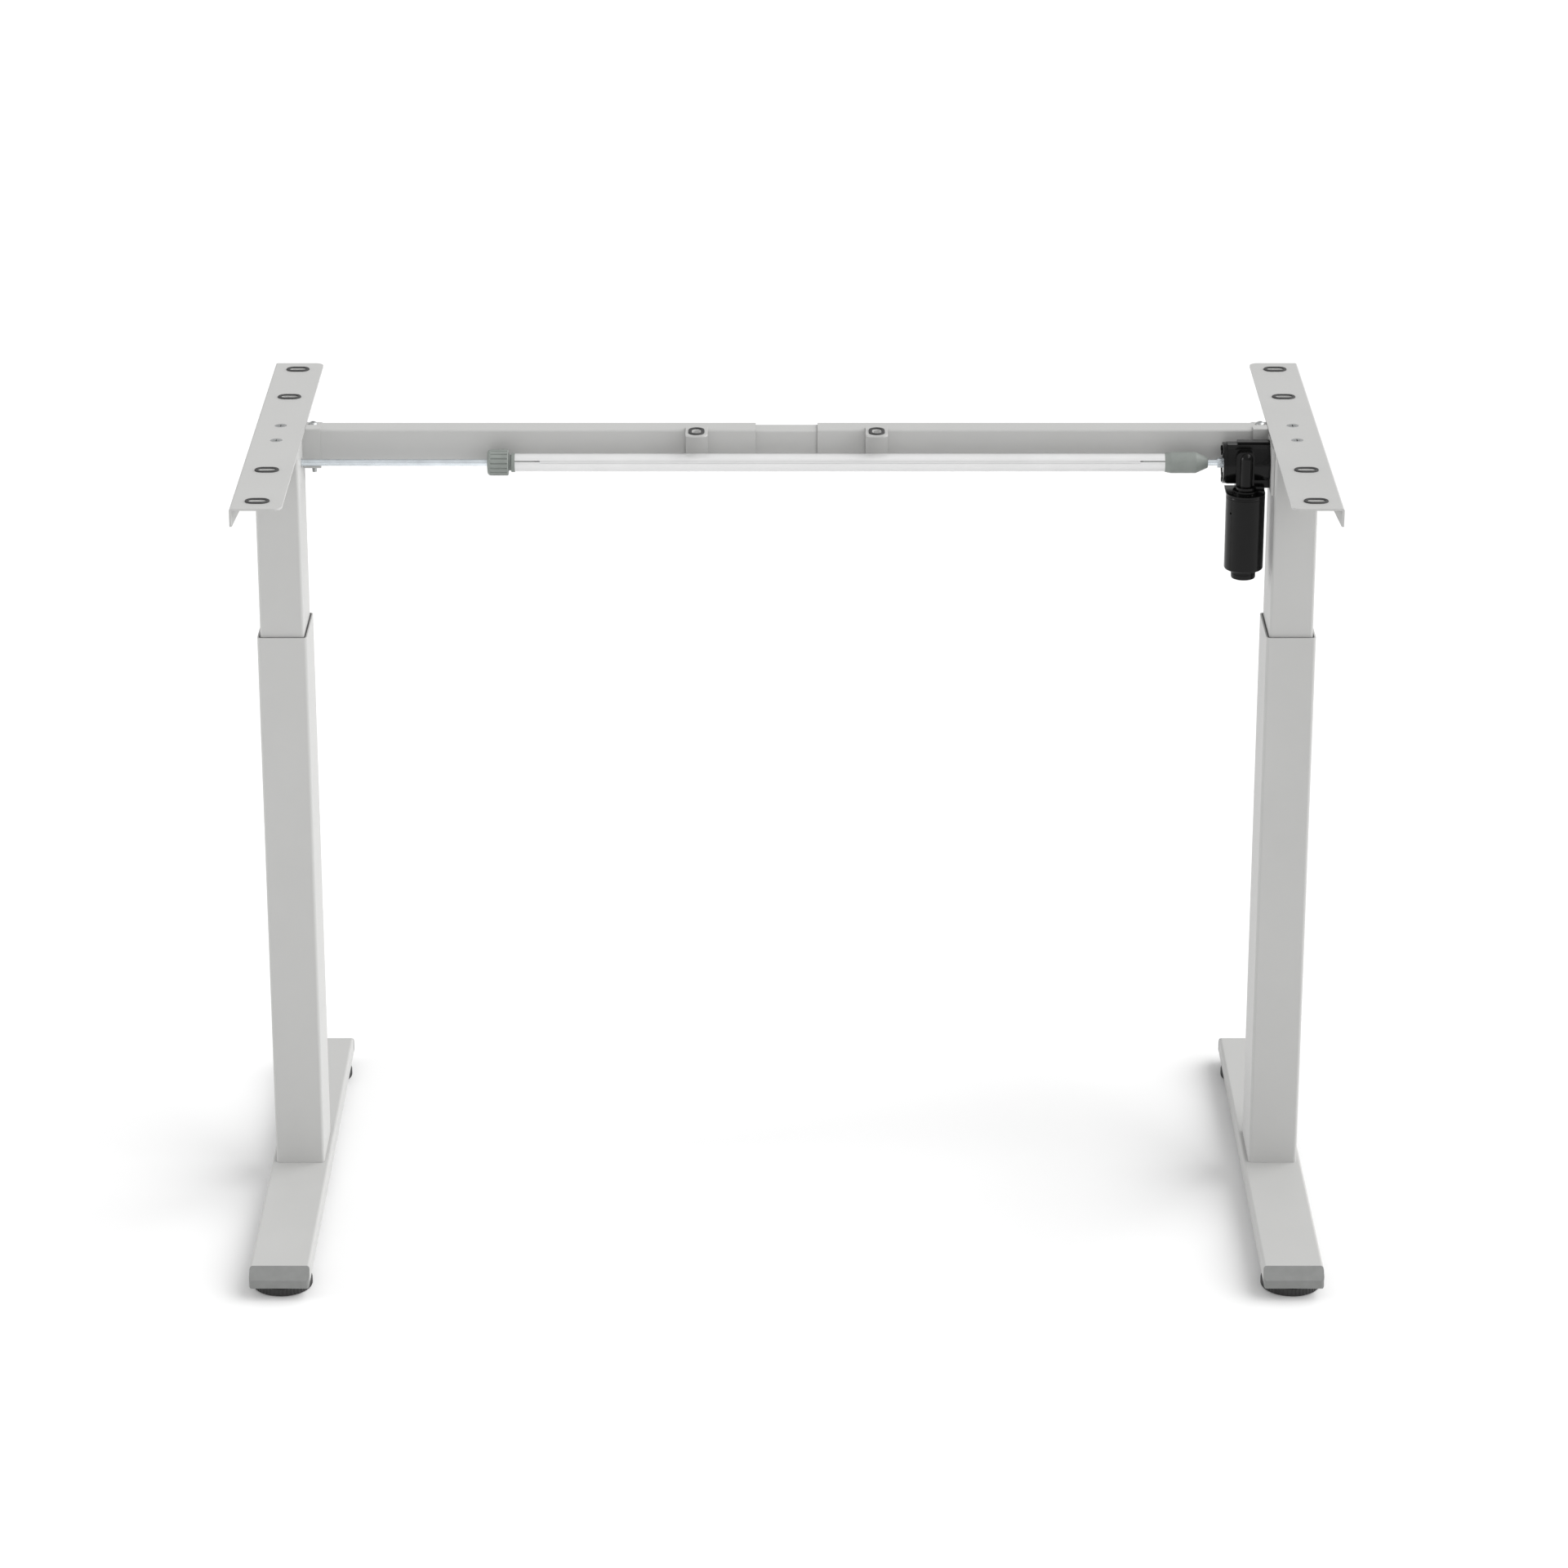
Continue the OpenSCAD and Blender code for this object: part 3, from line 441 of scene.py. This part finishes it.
def grommets(side):
    """Four rings on the side bracket and one on the beam's ear."""
    bm = bmesh.new()
    sign = -1 if side == "left" else 1
    for mount in ("top_bolts_outer", "top_bolts_inner"):
        dims = MOUNTS[mount]["dims"]
        for end in (-1, 1):
            x = sign * dims["spacing_x_mm"] / 2
            grommet(bm, x, end * dims["spacing_y_mm"] / 2, span(f"{side}_side_bracket")[1].z, 0)
    x, y = MOUNTS[f"{side}_ear_slot"]["pos_m"][:2]
    grommet(bm, x / MM, y / MM, span(f"{side}_ear")[1].z, 90)
    built(f"{side}_grommets_piece", bm, f"{side}_grommets")


def beam_bracket(side):
    """The bracket at the beam's end, with a soft bend where its front wall turns over the beam."""
    node = f"{side}_beam_bracket"
    low, high = span(node)
    half = (high - low) / 2
    bend_r = 1.4
    near = 0.1
    refined(node, 0.4, bend=(lambda p: p.y < near - half.y and p.z > half.z - near, bend_r))


def beam_bolt(side):
    """Domed bolt with a recess, down through the beam; its threaded end comes out below."""
    node = f"{side}_beam_bolt"
    low, high = span(node)
    mid = centre(node)
    r = (high.x - low.x) / 2
    shank_r = 2.5
    pitch = 0.8
    gap = 0.06
    head = span(f"{side}_beam_tube")[1].z + gap
    crown = high.z
    place = upright(mid.x, mid.y, 0)
    bm = bmesh.new()
    dome = [(2.3, head), (r - 0.3, head), (r, head + 0.25), (r - 0.1, head + 0.7)]
    dome += [(r - 0.6, head + 1.4), (r - 1.5, head + 2.1), (2.2, crown - 0.35), (1.9, crown - 0.3)]
    dome += [(1.7, crown - 0.4), (1.7, crown - 1.6)]
    turned(bm, dome, place, 48)
    thread(bm, shank_r, 0.25, pitch, low.z, head + 0.2, place, 18)
    built(f"{node}_piece", bm, node)


# ---- Cross shaft ----


def clamp_nut():
    """Grooved clamp nut, domed towards the left column."""
    low, high = span("clamp_nut")
    mid = centre("clamp_nut")
    r = (high.z - low.z) / 2
    length = high.x - low.x
    grooves = 16
    groove_width = 0.34
    depth = 1.0

    def grooved(angle, radius, height):
        """The grooves fade out towards both ends of the nut's outer surface."""
        if radius < r - 1.6:
            return radius
        fade = min(1.0, max(0.0, (height - 2.6) / 0.8), max(0.0, (length - 0.9 - height) / 0.5))
        return radius - fade * groove_depth(angle, grooves, groove_width, depth)

    profile = [(8.1, length), (8.1, 2.5), (5.0, 2.5), (5.0, 0.4), (5.4, 0)]
    profile += [(r - 3.6, 0)] + arc(r - 3.4, 3.4, 3.4, -85, 0, 6)
    profile += [(r, 4.4), (r, length / 2), (r, length - 2.0), (r, length - 1.4), (r, length - 0.9)]
    profile += arc(r - 0.8, length - 0.8, 0.8, 10, 90, 3) + [(8.6, length)]
    bm = bmesh.new()
    turned(bm, profile, sideways(low.x, mid.y, mid.z), grooves * 12, grooved, hollow=True)
    built("clamp_nut_piece", bm, "clamp_nut", smooth=40)


def shaft_coupler():
    """Grey coupler: a short rise, a straight body and a long taper, all softly rounded."""
    low, high = span("shaft_coupler")
    mid = centre("shaft_coupler")
    start = span("shaft_tube")[1].x
    length = high.x - start
    body = (high.z - low.z) / 2
    bore = 3.05
    profile = [(7.6, low.x - start + 0.4), (7.7, -0.2), (9.2, 0), (9.4, 0.25), (body - 0.4, 4.2)]
    profile += [(body - 0.08, 5.4), (body, 6.6), (body, 30.6), (body - 0.15, 31.3)]
    profile += [(body - 0.6, 32.1), (5.5, length - 0.7), (5.1, length - 0.15), (4.8, length)]
    profile += [(bore + 0.3, length), (bore, length - 0.3), (bore, 21), (0.4, 20.6)]
    profile += [(0.4, low.x - start + 0.2), (7.2, low.x - start)]
    bm = bmesh.new()
    turned(bm, profile, sideways(start, mid.y, mid.z), 72, hollow=True)
    built("shaft_coupler_piece", bm, "shaft_coupler", smooth=24)


def spindle(side):
    """Two-start threaded spindle below its shoulder and bearing journal."""
    node = f"{side}_spindle"
    low, high = span(node)
    mid = centre(node)
    rod_r = 7.0
    thread_depth = 1.3
    pitch = 10.0
    facets = 24 if side == "left" else 25
    seat = span(f"{side}_bearing")
    journal_top = seat[1].z + 10.5
    shoulder = seat[0].z - 4.5
    place = upright(mid.x, mid.y, 0)
    bm = bmesh.new()
    thread(bm, rod_r, thread_depth, pitch, low.z, shoulder, place, facets, starts=2)
    neck = [(6.5, shoulder - 0.5), (9.6, shoulder), (10, shoulder + 0.4), (10, shoulder + 3.6)]
    neck += [(9.6, shoulder + 4), (8, shoulder + 4.05), (8, journal_top - 0.5)]
    neck += [(7.5, journal_top), (4, journal_top + 0.05), (4, high.z - 0.4), (3.6, high.z)]
    turned(bm, neck, place, 40)
    built(f"{node}_piece", bm, node)


# ---- Motor ----


def motor_can():
    """Drawn steel can: rounded bottom edge, a rolled rim and a small hole near the top. The points
    along its wall keep the faces round the hole short."""
    low, high = span("motor_can")
    mid = centre("motor_can")
    r = (high.x - low.x) / 2
    h = high.z - low.z
    wall = 1.6
    hole_r = 1.2
    hole_drop = 16
    hole_turn = math.radians(-142)
    profile = [(5, 0), (9, 0), (13.5, 0.25), (r - 3.2, 1.0)] + arc(r - 2.2, 3.1, 2.2, -65, 0, 5)
    profile += [(r, 10), (r, 30), (r, 55), (r, h - 2.4), (r - 0.25, h - 2.2), (r - 0.25, h - 1.9)]
    profile += [(r, h - 1.7), (r, h - 0.6), (r - 0.2, h - 0.15), (r - 0.6, h)]
    profile += [(r - wall, h), (r - wall, 3), (5, 3)]
    bm = bmesh.new()
    turned(bm, profile, upright(mid.x, mid.y, low.z), 96, hollow=True)
    axis = upright(mid.x, mid.y, high.z - hole_drop) @ Matrix.Rotation(hole_turn, 4, "Z")
    drilled(bm, axis @ Matrix.Rotation(math.pi / 2, 4, "Y"), hole_r, r - 4, r + 4)
    built("motor_can_piece", bm, "motor_can")


def motor_end_bush():
    """Stepped bearing boss below the can."""
    low, high = span("motor_end_bush")
    mid = centre("motor_end_bush")
    r = (high.x - low.x) / 2
    h = high.z - low.z
    profile = [(4.05, h), (4.05, 3), (0.5, 3), (0.5, 2.2), (3.0, 2.2), (3.4, 1.2), (8.5, 0.9)]
    profile += [(9.3, 0.15), (10.6, 0), (r - 0.5, 0.5), (r - 0.1, 1.3), (r, 2.2), (r, 5.2)]
    profile += [(r - 0.35, 5.4), (r - 0.35, 6.0), (r, 6.2), (r, h)]
    bm = bmesh.new()
    turned(bm, profile, upright(mid.x, mid.y, low.z), 64, hollow=True)
    built("motor_end_bush_piece", bm, "motor_end_bush")


# ---- Every piece ----

for side in SIDES:
    foot_caps(side)
    for end in ENDS:
        glide(side, end)
    grommets(side)
    beam_bracket(side)
    beam_bolt(side)
    spindle(side)
clamp_nut()
shaft_coupler()
motor_can()
motor_end_bush()

EDGE_WIDTHS = {
    "foot": 0.25, "foot_screws": 0.4, "outer_tube": 0.3, "guide_sleeve": 0.25, "push_tube": 0.3,
    "spindle_nut": 0.4, "inner_tube": 0.25, "side_bracket": 0.45, "bracket_screws": 0.12,
    "beam_tube": 0.3, "ear": 0.45, "gear_housing": 0.5, "bearing": 0.3,
    "bevel_gear": 0.15, "pinion": 0.15, "beam_centre_tube": 0.3, "hex_rod": 0.35,
    "shaft_tube": 0.2, "shaft_collet": 0.35, "output_shaft": 0.3, "worm_wheel": 0.15,
    "gearbox_housing": 0.7, "gearbox_cap": 0.35, "gearbox_screws": 0.25, "motor_armature": 0.4,
    "motor_worm": 0.1, "motor_plate": 0.4,
}
for node in frame["nodes"]:
    kind = node.removeprefix("left_").removeprefix("right_")
    if kind in EDGE_WIDTHS:
        refined(node, EDGE_WIDTHS[kind])
for node, obj in frame["nodes"].items():
    obj.data.materials.clear()
    obj.data.materials.append(MATERIALS[SLOT_OF[node]])


# ---- Studio ----


def floor():
    """A wide white floor under the feet."""
    mesh = bpy.data.meshes.new("floor")
    bm = bmesh.new()
    bmesh.ops.create_grid(bm, x_segments=1, y_segments=1, size=14)
    bm.to_mesh(mesh)
    bm.free()
    mat, shader = new_material("floor_white", 0.9)
    shader.inputs["Specular IOR Level"].default_value = 0.1
    vary_colour(mat, shader, (0.8, 0.8, 0.8), 0.01, 1)
    mesh.materials.append(mat)
    obj = bpy.data.objects.new("floor", mesh)
    bpy.context.scene.collection.objects.link(obj)


def add_light(name, data, place):
    """Puts a light up, turned towards the middle of the frame."""
    obj = bpy.data.objects.new(name, data)
    obj.location = place
    aim = Vector((0, 0, 0.5)) - obj.location
    obj.rotation_euler = aim.to_track_quat("-Z", "Y").to_euler()
    bpy.context.scene.collection.objects.link(obj)


def key_light(place, strength, spread):
    """Broad, even light from one direction; spread is its angular size in degrees."""
    data = bpy.data.lights.new("key", "SUN")
    data.energy = strength
    data.angle = math.radians(spread)
    add_light("key", data, place)


def strip_light(name, place, width, height, power):
    """A tall narrow soft box."""
    data = bpy.data.lights.new(name, "AREA")
    data.shape = "RECTANGLE"
    data.size = width
    data.size_y = height
    data.energy = power
    add_light(name, data, place)


def sky(strength):
    """Even white light from all round."""
    world = bpy.data.worlds.new("studio")
    world.use_nodes = True
    back = world.node_tree.nodes["Background"]
    back.inputs["Color"].default_value = (1, 1, 1, 1)
    back.inputs["Strength"].default_value = strength
    bpy.context.scene.world = world


def camera():
    """A long lens in front of the frame, tilted down as in the photo."""
    tilt = math.radians(20.764)
    data = bpy.data.cameras.new("camera")
    data.lens = 120
    data.sensor_width = 36
    obj = bpy.data.objects.new("camera", data)
    obj.location = (-0.0026, -5.0, 2.336)
    obj.rotation_euler = (math.pi / 2 - tilt, 0, 0)
    bpy.context.scene.collection.objects.link(obj)
    bpy.context.scene.camera = obj


floor()
sky(0.72)
key_light((5.0, -0.4, 3.5), 3.6, 90)
strip_light("left_strip", (-4.5, -0.8, 1.2), 0.9, 2.4, 70)
camera()
bpy.context.scene.view_settings.view_transform = "Standard"
